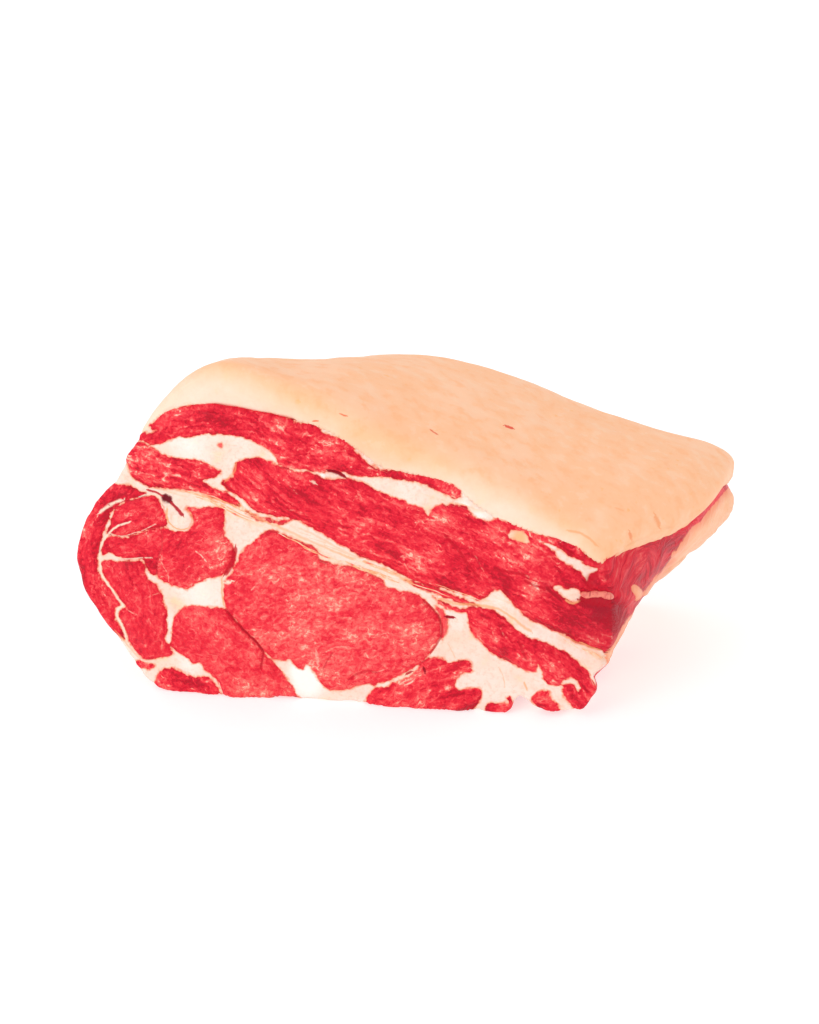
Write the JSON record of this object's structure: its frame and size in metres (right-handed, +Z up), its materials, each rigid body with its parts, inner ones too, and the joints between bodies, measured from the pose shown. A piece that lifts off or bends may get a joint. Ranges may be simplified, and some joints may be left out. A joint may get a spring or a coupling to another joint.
{
  "type": "raw boneless ribeye joint of beef",
  "caption": "Thick raw slab cut across the rib-eye, its muscles parted by seams of fat on both cuts, with a smooth cap of fat sloping down along its back.",
  "frame": {"origin": "middle of the base, on the surface that the joint lies on", "axes": "+X from the thick left side to the thin right side of the front cut, +Y from the front cut to the back cut, +Z up"},
  "size_m": [0.3426, 0.1516, 0.191],
  "materials": {
    "lean": "moist raw meat, marbled, with seams of cream fat",
    "fat": "smooth firm fat, cream at the cut and peach on the outside"
  },
  "bodies": {
    "root": {"lean": "lean", "fat_cap": "fat"}
  },
  "joints": []
}
